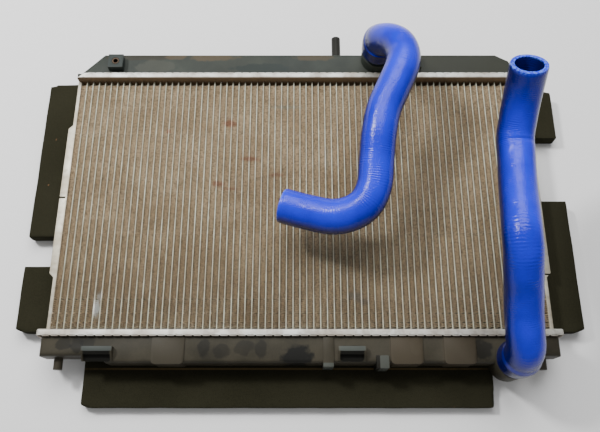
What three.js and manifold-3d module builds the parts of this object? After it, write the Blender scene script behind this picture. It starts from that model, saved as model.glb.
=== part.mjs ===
// Car radiator with two moulded hoses and its foam air seals, lying on its front with the
// engine side up. Millimetres, +X along the tanks, +Y from the bottom tank to the top tank.
import * as THREE from "three";
import { mergeVertices } from "three/addons/utils/BufferGeometryUtils.js";
import Module from "manifold-3d";

const wasm = await Module();
wasm.setup();

// ---- Driving dimensions ------------------------------------------------------------------
const GAP = 0.3;                 // clearance between touching pieces

const TUBE_COUNT = 71;
const TUBE_PITCH = 9.5;
const TUBE_THICKNESS = 2;
const TUBE_LENGTH = 388;         // between the two header plates
const TUBE_BARE_END = 3.6;       // stretch of tube without fins at each end
const CORE_DEPTH = 24;

const HEADER_SHEET = 1.5;        // aluminium sheet of the header trays
const HEADER_HEIGHT = 10;
const HEADER_LIP = 2.4;          // how far the crimped edge folds over the tank foot
const TOP_HEADER_OVERHANG = 6;   // past the fins at each end
const BOTTOM_HEADER_OVERHANG = 14;

const GASKET_THICKNESS = 3;
const GASKET_WIDTH = 6;

const TANK_DEPTH = 38;           // size of a tank's body through the radiator
const TANK_WALL = 3;
const TANK_EDGE_ROUND = 5;
const FOOT_EDGE = 3.2;           // how far the tank's foot stands out round its body
const TOP_TANK_HEIGHT = 46;      // from the header plate to the tank's outer wall
const BOTTOM_TANK_HEIGHT = 45;
const BOTTOM_TANK_END_STEP = 9;  // how much shallower the bottom tank is at its two ends

const SEAL_THICKNESS = 21.7;     // foam blocks beside the core
const SEAL_WIDTH = 59.2;         // from the side plate outwards
const SEAL_CORNER = 12;
const SEAL_END_GAP = 1.2;        // between a foam block and the header beyond it
const LEFT_SEAL_SPLIT = [-97, -54];   // the gap between the two left blocks
const RIGHT_SEAL_SPLIT = [4, 108];
const BOTTOM_SEAL_INSET = [55, 86];   // from the bottom header's left and right ends
const BOTTOM_SEAL_REACH = 55.5;  // how far the bottom flap reaches past the bottom tank

const PLATE_SHEET = 1.5;         // side plates
const PLATE_FLANGE_NARROW = 5;
const PLATE_FLANGE_WIDE = 11;
const PLATE_WIDE_FROM = -114;
const PLATE_WIDE_TO = 112;
const PLATE_SLIT = 2.4;          // expansion slit across the flange
const LEFT_SLIT_AT = 0;
const RIGHT_SLIT_AT = -116;

const HOSE_OUTER_RADIUS = 24;
const HOSE_BORE_RADIUS = 18;
const HOSE_WALL = HOSE_OUTER_RADIUS - HOSE_BORE_RADIUS;
const CUFF_STANDOFF = 6;         // bare neck between the turret and the hose
const NECK_RADIUS = 19.5;
const NECK_BORE_RADIUS = 16;
const NECK_CLEARANCE = 0.4;      // round the neck, so that the faceted hose can turn on it
const NECK_LENGTH = 30;          // above its turret
const TURRET_RADIUS = 25;
const UPPER_TURRET_HEIGHT = 18;  // above the tank's engine side
const LOWER_TURRET_HEIGHT = 3;
const UPPER_NECK_X = 120.5;
const UPPER_NECK_OUT = 36;       // from the header plate
const LOWER_NECK_INSET = 70.5;   // from the bottom header's right end
const LOWER_NECK_OUT = 41;
const ROUND_SIDES = 32;

const PIN_RADIUS = 6;
const PIN_LENGTH = 16;
const PIN_INSET = 26.5;          // from the bottom header's ends
const PEG_X = 58;
const PEG_RADIUS = 7;
const PEG_LENGTH = 41;
const LUG_X = [-286.5, 176.5];
const LUG_OUT = 27;              // from the header plate
const LUG_SIZE = 23;
const LUG_HEIGHT = 11;
const INSERT_RADIUS = 5.5;
const INSERT_BORE = 3.4;
const INSERT_LENGTH = 8;

const TOP_TANK_CORNER = [34, 11];     // how much the outer corners are cut, along and across
const TOP_TANK_TAPER = 14;
const PADS = [[-199, -155], [121.5, 165], [193, 236]];   // plain raised panels, along the tank
const PAD_RAISE = 1.5;
const PAD_CORNER = 5;
const RIB = [31, 45];
const RIB_REACH = 5;             // past the tank's outer wall
const RIB_RAISE = 2;
const REST_BLOCK = [102, 119];
const REST_BLOCK_REACH = 7;
const REST_BLOCK_DEPTH = 16;
const HOODS = [[-291, -250], [51, 88]];   // clip hoods
const HOOD_OUT = [24, 43];       // from the header plate, back and front
const HOOD_HEIGHT = 9;
const HOOD_ROOF = 6.5;           // how deep the roof is
const HOOD_LIP = 1.5;            // height of a gusset at its front
const HOOD_WALL = 2.5;

const DRAIN_X = -215;
const DRAIN_OUT = 26;            // from the header plate
const DRAIN_BOSS_HEIGHT = 14;
const DRAIN_BOSS_WALL = 4;
const DRAIN_BORE = 7;            // hole through the drain boss
const DRAIN_HEAD_RADIUS = 9.5;
const DRAIN_HEAD_HEIGHT = 5;
const DRAIN_SHANK_LENGTH = 12;
const DRAIN_RING_THICKNESS = 2;
const DRAIN_SLOT = 2.2;
const DRAIN_RUNNING_GAP = 0.25;

// ---- Levels and places worked out from them ----------------------------------------------
const coreFront = SEAL_THICKNESS + GAP;                       // z of the core's lower face
const coreBack = coreFront + CORE_DEPTH;                      // z of its engine face
const midZ = (coreFront + coreBack) / 2;
const tankLow = midZ - TANK_DEPTH / 2;
const tankHigh = midZ + TANK_DEPTH / 2;
const footLow = tankLow - FOOT_EDGE;
const footHigh = tankHigh + FOOT_EDGE;
const headerLow = footLow - GAP - HEADER_SHEET;
const headerHigh = footHigh + GAP + HEADER_SHEET;

const headerFace = TUBE_LENGTH / 2;                           // |y| of the header plates
const gasketFrom = headerFace + HEADER_SHEET + GAP;
const footFrom = gasketFrom + GASKET_THICKNESS + GAP;
const lipFrom = headerFace + HEADER_HEIGHT - HEADER_SHEET;
const footTo = lipFrom - GAP;
const topTankEnd = headerFace + TOP_TANK_HEIGHT;
const bottomTankEnd = headerFace + BOTTOM_TANK_HEIGHT;

const endTube = (TUBE_COUNT - 1) / 2 * TUBE_PITCH;
const coreHalf = endTube + TUBE_PITCH - TUBE_THICKNESS / 2;
const tubeTip = headerFace - GAP;
const finHalf = headerFace - TUBE_BARE_END;
const plateInner = coreHalf + GAP;
const plateOuter = plateInner + PLATE_SHEET;
const topHeaderHalf = coreHalf + TOP_HEADER_OVERHANG;
const bottomHeaderHalf = coreHalf + BOTTOM_HEADER_OVERHANG;
const sealReach = plateInner + SEAL_WIDTH;
const sideSealEnd = headerFace - SEAL_END_GAP;

const bottomSealThickness = tankLow - GAP;
const bottomSealEnd = -(bottomTankEnd + BOTTOM_SEAL_REACH);
const cuffOuterRadius = NECK_RADIUS + NECK_CLEARANCE + HOSE_WALL;
const pegTip = topTankEnd + PEG_LENGTH;

// The row's origin is under the middle of everything that isn't a hose.
const originY = (pegTip + bottomSealEnd) / 2;

// Each neck stands on its tank's engine side. Its heights are those of the turret, the neck's
// end and the two ends of the hose's cuff.
const UP = new THREE.Vector3(0, 0, 1);
function neckAt(x, y, turretHeight) {
  const turretTop = tankHigh + turretHeight;
  const top = turretTop + NECK_LENGTH;
  const cuff = [turretTop + CUFF_STANDOFF, top + HOSE_WALL / 2];
  return { base: new THREE.Vector3(x, y, 0), turretTop, top, cuff };
}
const upperNeck = neckAt(UPPER_NECK_X, headerFace + UPPER_NECK_OUT, UPPER_TURRET_HEIGHT);
const lowerNeck = neckAt(bottomHeaderHalf - LOWER_NECK_INSET, -(headerFace + LOWER_NECK_OUT),
  LOWER_TURRET_HEIGHT);

// The hoses' centre lines after their cuffs, chosen by hand. Heights are above the floor.
const UPPER_ROUTE = [
  [122.5, 223, 118], [129, 210, 132], [138, 193, 143], [143.5, 175, 150], [141, 152, 155],
  [128, 120, 154], [114, 88, 150], [106, 51, 146], [102.5, 17, 138], [98.5, -18, 131], [88, -39, 126],
  [69, -51.5, 121], [44, -55, 116], [8, -45, 108], [-24, -34.5, 104],
];
const LOWER_ROUTE = [
  [284, -228, 107], [280, -210, 123], [277, -188, 136], [274, -165, 153], [270, -144, 172],
  [268, -124, 186], [267, -103, 191], [269.5, -78, 186], [273.5, -45, 177], [277, -14, 171],
  [279.5, 14, 169], [280, 36, 172], [282, 56, 184], [283.5, 74, 200], [284, 88, 219],
  [283, 100, 242],
];

// ---- Materials ---------------------------------------------------------------------------
const paint = (color, roughness, metalness) =>
  new THREE.MeshStandardMaterial({ color, roughness, metalness });
const aluminium = () => paint(0xc9c8c0, 0.45, 0.9);
const finStock = () => paint(0x8c7d69, 0.7, 0.5);
const tankPlastic = () => paint(0x3c3d36, 0.7, 0);
const foam = () => paint(0x26241a, 0.95, 0);
const gasketRubber = () => paint(0x1c1c1c, 0.85, 0);
const silicone = () => paint(0x2546e0, 0.45, 0);
const brass = () => paint(0xb08a4a, 0.4, 0.9);

// ---- Geometry helpers --------------------------------------------------------------------
const aboveBase = (neck, height) => neck.base.clone().setZ(height);

function solid(geometry) {
  const bare = geometry.index ? geometry.toNonIndexed() : geometry.clone();
  bare.deleteAttribute("normal");
  bare.deleteAttribute("uv");
  const merged = mergeVertices(bare, 1e-3);
  return new wasm.Manifold(new wasm.Mesh({
    numProp: 3,
    vertProperties: Float32Array.from(merged.attributes.position.array),
    triVerts: Uint32Array.from(merged.index.array),
  }));
}

function surface(manifold) {
  const mesh = manifold.getMesh();
  const geometry = new THREE.BufferGeometry();
  geometry.setAttribute("position", new THREE.BufferAttribute(mesh.vertProperties, 3));
  geometry.setIndex(new THREE.BufferAttribute(mesh.triVerts, 1));
  geometry.computeVertexNormals();
  return geometry;
}

const join = (...pieces) => pieces.reduce((whole, piece) => whole.add(piece));

function block([x0, x1], [y0, y1], [z0, z1]) {
  const box = new THREE.BoxGeometry(x1 - x0, y1 - y0, z1 - z0);
  return solid(box.translate((x0 + x1) / 2, (y0 + y1) / 2, (z0 + z1) / 2));
}

function shapeOf(points) {
  return new THREE.Shape(points.map(([x, y]) => new THREE.Vector2(x, y)));
}

function prism(points, z0, z1) {
  const flat = new THREE.ExtrudeGeometry(shapeOf(points), { depth: z1 - z0, bevelEnabled: false });
  return solid(flat.translate(0, 0, z0));
}

// A prism whose two rims are rounded over.
function roundedPrism(points, z0, z1, round) {
  const options = {
    depth: z1 - z0 - 2 * round, bevelEnabled: true, bevelThickness: round,
    bevelSize: round, bevelOffset: -round, bevelSegments: 3,
  };
  return solid(new THREE.ExtrudeGeometry(shapeOf(points), options).translate(0, 0, z0 + round));
}

// Moves every edge of a counter-clockwise outline inwards.
function inset(points, distance) {
  const vectors = points.map(([x, y]) => new THREE.Vector2(x, y));
  return vectors.map((corner, i) => {
    const before = vectors.at(i - 1);
    const after = vectors[(i + 1) % vectors.length];
    const into = corner.clone().sub(before).normalize();
    const out = after.clone().sub(corner).normalize();
    const slide = distance / (1 + into.dot(out));
    return [corner.x - slide * (into.y + out.y), corner.y + slide * (into.x + out.x)];
  });
}

const flipY = (points) => points.map(([x, y]) => [x, -y]).reverse();
const flipX = (points) => points.map(([x, y]) => [-x, y]).reverse();

// A round bar along a neck or pin, from one distance to another.
function bar(base, axis, from, to, radius, sides = ROUND_SIDES) {
  const cylinder = new THREE.CylinderGeometry(radius, radius, to - from, sides);
  const turn = new THREE.Quaternion().setFromUnitVectors(new THREE.Vector3(0, 1, 0), axis);
  const middle = base.clone().addScaledVector(axis, (from + to) / 2);
  return solid(cylinder.applyQuaternion(turn).translate(middle.x, middle.y, middle.z));
}

function sweep(curve, radius, steps, sides) {
  const ring = new THREE.Shape(Array.from({ length: sides }, (_, i) => {
    const angle = (i + 0.5) / sides * 2 * Math.PI;
    return new THREE.Vector2(radius * Math.cos(angle), radius * Math.sin(angle));
  }));
  return solid(new THREE.ExtrudeGeometry(ring, { steps, extrudePath: curve, bevelEnabled: false }));
}

// ---- Core --------------------------------------------------------------------------------
// One brazed block: the flat tubes stand out past the fins at both ends.
function coreSolid() {
  const topEdge = [];
  for (let i = TUBE_COUNT - 1; i >= 0; i -= 1) {
    const x = (i - (TUBE_COUNT - 1) / 2) * TUBE_PITCH;
    const high = x + TUBE_THICKNESS / 2;
    const low = x - TUBE_THICKNESS / 2;
    topEdge.push([high, finHalf], [high, tubeTip], [low, tubeTip], [low, finHalf]);
  }
  const upper = [[coreHalf, finHalf], ...topEdge, [-coreHalf, finHalf]];
  return prism([...upper, ...flipY(upper)], coreFront, coreBack);
}

// ---- Headers and gaskets -----------------------------------------------------------------
// side is +1 for the top of the radiator and -1 for the bottom.
const span = (side, from, to) => (side > 0 ? [from, to] : [-to, -from]);

function headerSolid(side, half) {
  const inner = half - HEADER_SHEET;
  const lip = half - HEADER_SHEET - HEADER_LIP;
  const outerEnd = headerFace + HEADER_HEIGHT;
  return block([-half, half], span(side, headerFace, outerEnd), [headerLow, headerHigh])
    .subtract(block([-inner, inner], span(side, headerFace + HEADER_SHEET, lipFrom),
      [headerLow + HEADER_SHEET, headerHigh - HEADER_SHEET]))
    .subtract(block([-lip, lip], span(side, lipFrom - 1, outerEnd + 1),
      [headerLow + HEADER_SHEET + HEADER_LIP, headerHigh - HEADER_SHEET - HEADER_LIP]));
}

function gasketSolid(side, half) {
  const outer = half - HEADER_SHEET - GAP;
  const hole = outer - GASKET_WIDTH;
  return block([-outer, outer], span(side, gasketFrom, gasketFrom + GASKET_THICKNESS), [footLow, footHigh])
    .subtract(block([-hole, hole], span(side, gasketFrom - 1, footFrom + 1),
      [footLow + GASKET_WIDTH, footHigh - GASKET_WIDTH]));
}

// ---- Tanks -------------------------------------------------------------------------------
// The tank's outline seen from the engine side. It starts short of the foot, where it is cut
// off, so that the tank is open towards the header.
const outlineStart = footFrom - TANK_EDGE_ROUND - TANK_WALL;
function tankShell(outline, side, footHalf) {
  const pastFoot = span(side, footFrom, footFrom + 2 * TOP_TANK_HEIGHT);
  const wanted = block([-footHalf, footHalf], pastFoot, [footLow, footHigh]);
  return {
    body: join(roundedPrism(outline, tankLow, tankHigh, TANK_EDGE_ROUND).intersect(wanted),
      block([-footHalf, footHalf], span(side, footFrom, footTo), [footLow, footHigh])),
    cavity: prism(inset(outline, TANK_WALL), tankLow + TANK_WALL, tankHigh - TANK_WALL),
  };
}

function turretAndNeck(neck) {
  return join(bar(neck.base, UP, tankLow + 1, neck.turretTop, TURRET_RADIUS),
    bar(neck.base, UP, midZ, neck.top, NECK_RADIUS));
}

const neckBore = (neck) => bar(neck.base, UP, tankLow + TANK_WALL + 2, neck.top + 1, NECK_BORE_RADIUS);

const lugY = headerFace + LUG_OUT;

function topTankSolid() {
  const footHalf = topHeaderHalf - HEADER_SHEET - GAP;
  const half = footHalf - FOOT_EDGE;
  const [along, across] = TOP_TANK_CORNER;
  const outline = [
    [-half, outlineStart], [half, outlineStart], [half, footTo + 3],
    [half - TOP_TANK_TAPER, topTankEnd - across], [half - along, topTankEnd],
    [-half + along, topTankEnd], [-half, footTo + 3],
  ];
  const { body, cavity } = tankShell(outline, 1, footHalf);
  const lugs = LUG_X.map((x) => block([x - LUG_SIZE / 2, x + LUG_SIZE / 2],
    [lugY - LUG_SIZE / 2, lugY + LUG_SIZE / 2], [tankHigh - TANK_WALL, tankHigh + LUG_HEIGHT]));
  const pockets = LUG_X.map((x) => bar(new THREE.Vector3(x, lugY, tankHigh + LUG_HEIGHT), UP,
    -INSERT_LENGTH - GAP, 1, INSERT_RADIUS + GAP, 16));
  const peg = bar(new THREE.Vector3(PEG_X, topTankEnd, midZ), new THREE.Vector3(0, 1, 0),
    -1, PEG_LENGTH, PEG_RADIUS, 20);
  const whole = join(body, turretAndNeck(upperNeck), peg, ...lugs)
    .subtract(cavity).subtract(neckBore(upperNeck));
  return pockets.reduce((tank, pocket) => tank.subtract(pocket), whole);
}

// A clip hood on the tank's engine side: a narrow roof on two gussets that slope down
// towards -Y, with a wall behind. The profile is drawn in (y, z) and stood along X.
function hood([x0, x1]) {
  const [back, front] = HOOD_OUT.map((out) => -(headerFace + out));
  const roof = tankHigh + HOOD_HEIGHT;
  const profile = [[front, tankHigh - 1], [back, tankHigh - 1], [back, roof],
    [back - HOOD_ROOF, roof], [front, tankHigh + HOOD_LIP]];
  return prism(profile, x0, x1).rotate([90, 0, 90])
    .subtract(block([x0 + HOOD_WALL, x1 - HOOD_WALL], [front - 1, back - HOOD_WALL],
      [tankHigh, roof - HOOD_WALL]));
}

// A raised panel that wraps over the tank's outer edge, with its two outer corners rounded.
function pad([x0, x1]) {
  const edge = -(bottomTankEnd + PAD_RAISE);
  const small = PAD_CORNER * (1 - Math.SQRT1_2);
  return prism([
    [x0, edge + PAD_CORNER], [x0 + small, edge + small], [x0 + PAD_CORNER, edge],
    [x1 - PAD_CORNER, edge], [x1 - small, edge + small], [x1, edge + PAD_CORNER],
    [x1, -(footTo + 3)], [x0, -(footTo + 3)],
  ], tankLow + 4, tankHigh + PAD_RAISE);
}

const drainSpot = new THREE.Vector3(DRAIN_X, -(headerFace + DRAIN_OUT), tankLow);

function bottomTankSolid() {
  const footHalf = bottomHeaderHalf - HEADER_SHEET - GAP;
  const half = footHalf - FOOT_EDGE;
  const shallow = bottomTankEnd - BOTTOM_TANK_END_STEP;
  const outline = flipY([
    [-half, outlineStart], [half, outlineStart], [half, shallow], [half - 36, shallow],
    [half - 46, bottomTankEnd], [-half + 90, bottomTankEnd], [-half + 80, shallow], [-half, shallow],
  ]);
  const { body, cavity } = tankShell(outline, -1, footHalf);
  const ribLevels = [tankLow + 1, tankHigh + RIB_RAISE];
  const rib = block(RIB, [-(bottomTankEnd + RIB_REACH), -(footTo + 3)], ribLevels);
  const blockEnd = bottomTankEnd + REST_BLOCK_REACH;
  const restBlock = block(REST_BLOCK, [-blockEnd, REST_BLOCK_DEPTH - blockEnd], ribLevels);
  const pinX = bottomHeaderHalf - PIN_INSET;
  const pins = [-pinX, pinX].map((x) => bar(new THREE.Vector3(x, -shallow, midZ),
    new THREE.Vector3(0, -1, 0), -1, PIN_LENGTH, PIN_RADIUS, 20));
  const boss = bar(drainSpot, UP, 1, DRAIN_BOSS_HEIGHT, DRAIN_BORE + DRAIN_BOSS_WALL, 24);
  return join(body, ...PADS.map(pad), rib, restBlock, ...pins, ...HOODS.map(hood), turretAndNeck(lowerNeck))
    .subtract(cavity).add(boss)
    .subtract(bar(drainSpot, UP, -1, DRAIN_BOSS_HEIGHT + 1, DRAIN_BORE, 24)).subtract(neckBore(lowerNeck));
}

// ---- Drain plug --------------------------------------------------------------------------
function drainRingSolid() {
  return bar(drainSpot, UP, -GAP - DRAIN_RING_THICKNESS, -GAP, DRAIN_HEAD_RADIUS - 1, 24)
    .subtract(bar(drainSpot, UP, -5, 5, DRAIN_BORE, 24));
}

function drainPlugSolid() {
  const underHead = -2 * GAP - DRAIN_RING_THICKNESS;
  const slot = block([drainSpot.x - 7, drainSpot.x + 7],
    [drainSpot.y - DRAIN_SLOT / 2, drainSpot.y + DRAIN_SLOT / 2],
    [drainSpot.z + underHead - DRAIN_HEAD_HEIGHT - 1, drainSpot.z + underHead - DRAIN_HEAD_HEIGHT + 2.5]);
  return join(bar(drainSpot, UP, underHead - DRAIN_HEAD_HEIGHT, underHead, DRAIN_HEAD_RADIUS, 24),
    bar(drainSpot, UP, underHead - 1, DRAIN_SHANK_LENGTH, DRAIN_BORE - DRAIN_RUNNING_GAP, 24))
    .subtract(slot);
}

// ---- Side plates -------------------------------------------------------------------------
// A channel whose flanges point away from the core and are wider along the middle.
function sidePlateSolid(side, slitY) {
  const mirror = side < 0 ? flipX : (points) => points;
  const narrow = plateInner + PLATE_FLANGE_NARROW;
  const wide = plateInner + PLATE_FLANGE_WIDE;
  const step = PLATE_FLANGE_WIDE - PLATE_FLANGE_NARROW;
  const flange = mirror([
    [plateInner, -tubeTip], [narrow, -tubeTip], [narrow, PLATE_WIDE_FROM - step], [wide, PLATE_WIDE_FROM],
    [wide, PLATE_WIDE_TO], [narrow, PLATE_WIDE_TO + step], [narrow, tubeTip], [plateInner, tubeTip],
  ]);
  const web = mirror([
    [plateInner, -tubeTip], [plateOuter, -tubeTip], [plateOuter, tubeTip], [plateInner, tubeTip],
  ]);
  const slit = mirror([
    [plateOuter + 1, slitY - PLATE_SLIT / 2], [wide + 1, slitY - PLATE_SLIT / 2],
    [wide + 1, slitY + PLATE_SLIT / 2], [plateOuter + 1, slitY + PLATE_SLIT / 2],
  ]);
  return join(prism(web, coreFront, coreBack), prism(flange, coreBack - PLATE_SHEET, coreBack),
    prism(flange, coreFront, coreFront + PLATE_SHEET)).subtract(prism(slit, coreFront - 1, coreBack + 1));
}

// ---- Foam seals --------------------------------------------------------------------------
// Blocks bonded under the side plates' front flanges, with one outer corner cut off and
// notched where they would meet a header.
function sideSealSolid(side, low, high, cornerAt) {
  const mirror = side < 0 ? flipX : (points) => points;
  const outer = sealReach;
  const corner = cornerAt === "top"
    ? [[outer, low], [outer, high - SEAL_CORNER / 3], [outer - SEAL_CORNER, high]]
    : [[outer - SEAL_CORNER, low], [outer, low + SEAL_CORNER / 3], [outer, high]];
  const headerRoom = (half, end) => block([-half - GAP, half + GAP],
    span(end, tubeTip, headerFace + HEADER_HEIGHT + GAP), [-1, headerHigh]);
  return prism(mirror([...corner, [plateInner, high], [plateInner, low]]), 0, SEAL_THICKNESS)
    .subtract(headerRoom(topHeaderHalf, 1)).subtract(headerRoom(bottomHeaderHalf, -1));
}

function bottomSealSolid() {
  const under = -(headerFace + HEADER_HEIGHT + 2);
  const left = -bottomHeaderHalf + BOTTOM_SEAL_INSET[0];
  const right = bottomHeaderHalf - BOTTOM_SEAL_INSET[1];
  return prism([
    [left, bottomSealEnd + 4], [left + SEAL_CORNER, bottomSealEnd], [right - 4, bottomSealEnd],
    [right, under], [left, under],
  ], 0, bottomSealThickness).subtract(
    bar(new THREE.Vector3(drainSpot.x, drainSpot.y, 0), UP, -1, tankLow, DRAIN_HEAD_RADIUS + 6, 24));
}

// ---- Hoses -------------------------------------------------------------------------------
// A moulded tube with a wider cuff that is pushed over the neck.
function hoseSolid(neck, route) {
  const [foot, cuffEnd] = neck.cuff;
  const straight = aboveBase(neck, neck.top + 2);
  const points = route.map(([x, y, z]) => new THREE.Vector3(x, y, z));
  const curve = new THREE.CatmullRomCurve3([aboveBase(neck, foot), straight, ...points], false, "centripetal");
  const outer = sweep(curve, HOSE_OUTER_RADIUS, 30, 18);
  const ending = points.at(-1).clone().sub(points.at(-2)).normalize();
  const pastEnd = points.at(-1).clone().addScaledVector(ending, 3);
  const inner = new THREE.CatmullRomCurve3(
    [aboveBase(neck, foot - 3), straight, ...points, pastEnd], false, "centripetal");
  const cuff = join(bar(neck.base, UP, foot, cuffEnd, cuffOuterRadius), outer);
  return cuff.subtract(sweep(inner, HOSE_BORE_RADIUS, 30, 16))
    .subtract(bar(neck.base, UP, foot - 4, neck.top + 1, NECK_RADIUS + NECK_CLEARANCE));
}

// ---- Assembly ----------------------------------------------------------------------------
const radiator = new THREE.Group();
radiator.position.y = -originY;

function place(name, manifold, material) {
  const mesh = new THREE.Mesh(surface(manifold), material);
  mesh.name = name;
  radiator.add(mesh);
}

place("core", coreSolid(), finStock());
place("top_header", headerSolid(1, topHeaderHalf), aluminium());
place("bottom_header", headerSolid(-1, bottomHeaderHalf), aluminium());
place("top_gasket", gasketSolid(1, topHeaderHalf), gasketRubber());
place("bottom_gasket", gasketSolid(-1, bottomHeaderHalf), gasketRubber());
place("top_tank", topTankSolid(), tankPlastic());
place("bottom_tank", bottomTankSolid(), tankPlastic());
place("left_side_plate", sidePlateSolid(-1, LEFT_SLIT_AT), aluminium());
place("right_side_plate", sidePlateSolid(1, RIGHT_SLIT_AT), aluminium());
place("upper_hose", hoseSolid(upperNeck, UPPER_ROUTE), silicone());
place("lower_hose", hoseSolid(lowerNeck, LOWER_ROUTE), silicone());
place("left_upper_seal", sideSealSolid(-1, LEFT_SEAL_SPLIT[1], headerFace + HEADER_HEIGHT, "top"), foam());
place("left_lower_seal", sideSealSolid(-1, -sideSealEnd, LEFT_SEAL_SPLIT[0], "bottom"), foam());
place("right_upper_seal", sideSealSolid(1, RIGHT_SEAL_SPLIT[1], sideSealEnd, "top"), foam());
place("right_lower_seal", sideSealSolid(1, -sideSealEnd, RIGHT_SEAL_SPLIT[0], "bottom"), foam());
place("bottom_seal", bottomSealSolid(), foam());
place("drain_plug", drainPlugSolid(), tankPlastic());
place("drain_ring", drainRingSolid(), gasketRubber());
LUG_X.forEach((x, i) => {
  const top = new THREE.Vector3(x, lugY, tankHigh + LUG_HEIGHT);
  const insert = bar(top, UP, -INSERT_LENGTH, 0, INSERT_RADIUS, 16)
    .subtract(bar(top, UP, -INSERT_LENGTH - 1, 1, INSERT_BORE, 16));
  place(["left_lug_insert", "right_lug_insert"][i], insert, brass());
});

export default radiator;
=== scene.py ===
# %% [markdown]
# # A car radiator, laid on its front
# The radiator lies with its engine side up: a core of flat tubes and folded fins between two
# aluminium headers, a plastic tank crimped on each header, foam blocks that keep the air from
# going round it, and two moulded silicone hoses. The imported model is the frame: it fixes every
# place and size, and this script gives each piece its finished surface.

# %% Load the frame
import math

import bmesh
import bpy
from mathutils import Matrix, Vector, noise


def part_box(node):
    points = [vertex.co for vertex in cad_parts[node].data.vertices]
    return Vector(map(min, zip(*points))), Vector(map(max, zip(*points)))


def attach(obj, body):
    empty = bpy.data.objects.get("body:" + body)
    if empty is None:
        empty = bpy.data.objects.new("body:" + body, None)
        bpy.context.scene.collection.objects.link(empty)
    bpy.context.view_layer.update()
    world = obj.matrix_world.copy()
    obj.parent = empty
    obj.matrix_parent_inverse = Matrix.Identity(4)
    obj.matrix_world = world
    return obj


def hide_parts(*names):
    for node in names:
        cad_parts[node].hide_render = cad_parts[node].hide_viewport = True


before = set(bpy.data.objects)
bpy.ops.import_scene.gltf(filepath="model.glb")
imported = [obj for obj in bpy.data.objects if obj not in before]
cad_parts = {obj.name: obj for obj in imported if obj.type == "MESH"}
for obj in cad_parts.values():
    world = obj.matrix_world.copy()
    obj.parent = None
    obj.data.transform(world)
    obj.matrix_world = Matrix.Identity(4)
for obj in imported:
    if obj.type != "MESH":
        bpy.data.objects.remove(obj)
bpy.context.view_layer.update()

MM = 0.001

# %% [markdown]
# ## Camera
# The camera stands over the bottom tank and looks down at the core, so the top tank is
# farther away and the sides close in towards it. The core's engine face is the plane that
# the camera's place is counted from.

# %% Camera
CORE_MIDDLE_Y = sum(corner.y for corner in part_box("core")) / 2
CORE_FACE_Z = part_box("core")[1].z
CAMERA_BACK = 0.3465        # behind the middle of the core
CAMERA_UP = 0.8869          # above the core's face
CAMERA_LOOKS_DOWN = math.radians(70.3)
CAMERA_LENS = 39.0          # millimetres
SENSOR_WIDTH = 36.0         # millimetres
NEAREST_SEEN = 0.01

bpy.ops.object.select_all(action="DESELECT")
bpy.ops.object.camera_add(
    location=(0, CORE_MIDDLE_Y - CAMERA_BACK, CORE_FACE_Z + CAMERA_UP),
    rotation=(math.pi / 2 - CAMERA_LOOKS_DOWN, 0, 0),
)
camera = bpy.context.object
camera.data.lens = CAMERA_LENS
camera.data.sensor_width = SENSOR_WIDTH
camera.data.clip_start = NEAREST_SEEN
bpy.context.scene.camera = camera
print("camera at", [round(v, 3) for v in camera.location])

# %% [markdown]
# ## Light
# A small lamp on the left draws the bright streaks on the hoses. A wide one beyond the top
# tank acts as a studio's ceiling. A sun lamp would be simpler, but its shadows are hard. A
# pale sky fills the shadows, because the folded fins are deep and would go black.

# %% Light
SKY_STRENGTH = 0.36


def soft_lamp(name, place, target, size, power):
    bpy.ops.object.light_add(type="AREA", location=place)
    lamp = bpy.context.object
    lamp.name = name
    lamp.data.shape = "DISK"
    lamp.data.size = size
    lamp.data.energy = power
    lamp.rotation_euler = (Vector(target) - Vector(place)).to_track_quat("-Z", "Y").to_euler()


soft_lamp("key_lamp", place=(-1.15, 0.75, 1.65), target=(0, 0.05, 0), size=0.35, power=34)
soft_lamp("ceiling_lamp", place=(0.1, 1.3, 2.0), target=(0, 0, 0), size=2.0, power=56)
world = bpy.data.worlds.new("studio")
bpy.context.scene.world = world
world.use_nodes = True
world.node_tree.nodes["Background"].inputs["Color"].default_value = (1, 1, 1, 1)
world.node_tree.nodes["Background"].inputs["Strength"].default_value = SKY_STRENGTH

# %% [markdown]
# ## Floor
# A plain pale floor catches the shadows. It lies half a millimetre low, so that the foam's
# flat underside and the floor never share a plane, which would flicker.

# %% Floor
FLOOR_SIZE = 8
FLOOR_DROP = 0.5 * MM
PALE_GREY = (0.9, 0.9, 0.9, 1)
MATT = 0.9

bpy.ops.object.select_all(action="DESELECT")
bpy.ops.mesh.primitive_plane_add(size=FLOOR_SIZE, location=(0, 0, -FLOOR_DROP))
floor = bpy.context.object
floor.name = "floor"
floor_paint = bpy.data.materials.new("floor_paint")
floor_paint.use_nodes = True
floor_shader = floor_paint.node_tree.nodes["Principled BSDF"]
floor_shader.inputs["Base Color"].default_value = PALE_GREY
floor_shader.inputs["Roughness"].default_value = MATT
floor.data.materials.append(floor_paint)
print("floor", FLOOR_SIZE, "m wide")

# %% [markdown]
# ## Shared effects
# A used radiator wears the same marks on many surfaces: grain, dust, dried drops, blotches
# and stains. Each could be wired again in every material, but a node group is built once
# and placed with its own values. The groups give masks and heights only, and each material
# says what they do to its colour. These helpers shorten the wiring.

# %% Node group helpers
def new_group(name, inputs, outputs):
    group = bpy.data.node_groups.new(name, "ShaderNodeTree")
    for label, value in inputs:
        socket = group.interface.new_socket(label, in_out="INPUT", socket_type="NodeSocketFloat")
        socket.default_value = value
    for label in outputs:
        group.interface.new_socket(label, in_out="OUTPUT", socket_type="NodeSocketFloat")
    return group, group.nodes.new("NodeGroupInput"), group.nodes.new("NodeGroupOutput")


def wire(tree, source, target):
    tree.links.new(source, target)


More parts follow.
